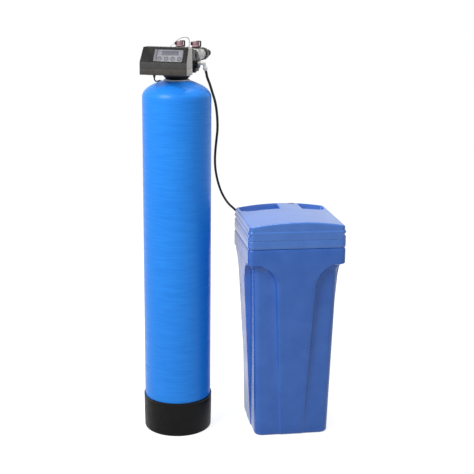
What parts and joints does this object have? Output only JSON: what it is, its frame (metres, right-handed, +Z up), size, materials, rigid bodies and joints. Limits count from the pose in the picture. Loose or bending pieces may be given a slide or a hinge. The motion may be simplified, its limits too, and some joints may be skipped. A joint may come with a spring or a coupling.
{
  "type": "water softener",
  "caption": "Domestic water softener: tall domed resin tank in a boot, control head with display, bypass and pipe tails, and a square lidded brine tank joined by a brine line.",
  "frame": {"origin": "middle of the resin tank's foot, on the floor", "axes": "+Z up along the resin tank's axis, +X from the resin tank towards the brine tank, +Y away from the display"},
  "size_m": [0.767, 0.4469, 1.5177],
  "materials": {
    "tank_blue": "wound glass fibre under a satin blue gel coat",
    "boot_black": "moulded black polypropylene",
    "collar_white": "moulded, pale",
    "inner_white": "moulded, white",
    "resin": "loose amber beads",
    "valve_black": "glass-filled moulding, black",
    "seal_rubber": "smooth",
    "disc_ceramic": "lapped ceramic",
    "shaft_steel": "ground",
    "gear_white": "acetal",
    "motor_steel": "plated can",
    "housing_grey": "fine-textured ABS",
    "cover_charcoal": "fine-textured ABS",
    "screw_steel": "zinc plated",
    "panel_grey": "printed film",
    "lcd_glass": "clear window over the display",
    "board_green": "solder-masked board",
    "button_grey": "moulded",
    "fitting_white": "moulded",
    "cable_grey": "soft sheath",
    "handle_rose": "moulded, faded red with a black lever",
    "bypass_grey": "moulded, pale grey",
    "tub_blue": "rotation-moulded polyethylene",
    "lid_blue": "rotation-moulded polyethylene",
    "plate_grey": "bare plate",
    "float_cream": "closed-cell foam",
    "line_black": "semi-stiff polyethylene tube",
    "lead_black": "soft sheath",
    "adapter_black": "spark-textured moulding"
  },
  "bodies": {
    "root": {"resin_tank": "tank_blue", "tank_boot": "boot_black", "neck_collar": "collar_white", "riser_tube": "inner_white", "bottom_strainer": "inner_white", "top_strainer": "inner_white", "resin_bed": "resin", "valve_body": "valve_black", "seal_rings": "seal_rubber", "valve_bonnet": "valve_black", "fixed_disc": "disc_ceramic", "drive_motor": "motor_steel", "back_housing": "housing_grey", "front_cover": "cover_charcoal", "case_screws": "screw_steel", "display_panel": "panel_grey", "lcd_window": "lcd_glass", "circuit_board": "board_green", "power_gland": "lead_black", "injector_cap": "valve_black", "injector_nozzle": "inner_white", "drain_elbow": "valve_black", "brine_elbow": "fitting_white", "tube_nuts": "fitting_white", "turbine_axle": "shaft_steel", "meter_cable": "cable_grey", "bypass_body": "bypass_grey", "rotor_caps": "valve_black", "coupling_nuts": "valve_black", "pipe_tails": "valve_black", "brine_tank": "tub_blue", "salt_grid": "inner_white", "brine_well": "inner_white", "well_cap": "inner_white", "float_valve": "inner_white", "wall_elbow": "fitting_white", "overflow_elbow": "fitting_white", "wall_nuts": "fitting_white", "brine_line": "line_black", "power_lead": "lead_black", "lead_coil": "lead_black", "coil_tie": "lead_black", "plug_adapter": "adapter_black"},
    "lid": {"brine_lid": "lid_blue", "lid_plate": "plate_grey"},
    "menu_key": {"menu_button": "button_grey"},
    "down_key": {"down_button": "button_grey"},
    "up_key": {"up_button": "button_grey"},
    "enter_key": {"enter_button": "button_grey"},
    "drive": {"drive_gear": "gear_white", "disc_shaft": "shaft_steel", "moving_disc": "disc_ceramic"},
    "pinion": {"motor_pinion": "gear_white"},
    "turbine": {"flow_turbine": "gear_white"},
    "inlet_bypass": {"inlet_rotor": "gear_white", "inlet_handle": "handle_rose"},
    "outlet_bypass": {"outlet_rotor": "gear_white", "outlet_handle": "handle_rose"},
    "float": {"brine_float": "float_cream"},
    "ball": {"check_ball": "gear_white"}
  },
  "joints": [
    {"name": "lid_lift", "type": "slide", "parent": "root", "child": "lid", "axis": [0, 0, 1], "range_m": [0, 0.2]},
    {"name": "menu_press", "type": "slide", "parent": "root", "child": "menu_key", "axis": [0.2605, 0.8521, -0.4539], "range_m": [0, 0.0008], "stiffness_N_per_m": 400},
    {"name": "down_press", "type": "slide", "parent": "root", "child": "down_key", "axis": [0.2605, 0.8521, -0.4539], "range_m": [0, 0.0008], "stiffness_N_per_m": 400},
    {"name": "up_press", "type": "slide", "parent": "root", "child": "up_key", "axis": [0.2605, 0.8521, -0.4539], "range_m": [0, 0.0008], "stiffness_N_per_m": 400},
    {"name": "enter_press", "type": "slide", "parent": "root", "child": "enter_key", "axis": [0.2605, 0.8521, -0.4539], "range_m": [0, 0.0008], "stiffness_N_per_m": 400},
    {"name": "disc_turn", "type": "hinge", "parent": "root", "child": "drive", "pos_m": [-0.02222, -0.07268, 1.436], "axis": [0.2924, 0.9563, 0], "continuous": true},
    {"name": "pinion_turn", "type": "hinge", "parent": "root", "child": "pinion", "pos_m": [-0.04758, -0.06493, 1.40948], "axis": [0.2924, 0.9563, 0], "continuous": true},
    {"name": "turbine_spin", "type": "hinge", "parent": "root", "child": "turbine", "pos_m": [0.04405, 0.03463, 1.446], "axis": [0.2924, 0.9563, 0], "continuous": true},
    {"name": "inlet_turn", "type": "hinge", "parent": "root", "child": "inlet_bypass", "pos_m": [0.00507, 0.12602, 1.446], "axis": [0, 0, 1], "range_deg": [0, 90]},
    {"name": "outlet_turn", "type": "hinge", "parent": "root", "child": "outlet_bypass", "pos_m": [0.06627, 0.10731, 1.446], "axis": [0, 0, 1], "range_deg": [0, 90]},
    {"name": "float_rise", "type": "slide", "parent": "root", "child": "float", "axis": [0, 0, 1], "range_m": [0, 0.06]},
    {"name": "ball_rise", "type": "slide", "parent": "root", "child": "ball", "axis": [0, 0, 1], "range_m": [0, 0.005]}
  ],
  "couplings": [
    {"joint": "disc_turn", "follows": "pinion_turn", "ratio": -0.25}
  ]
}
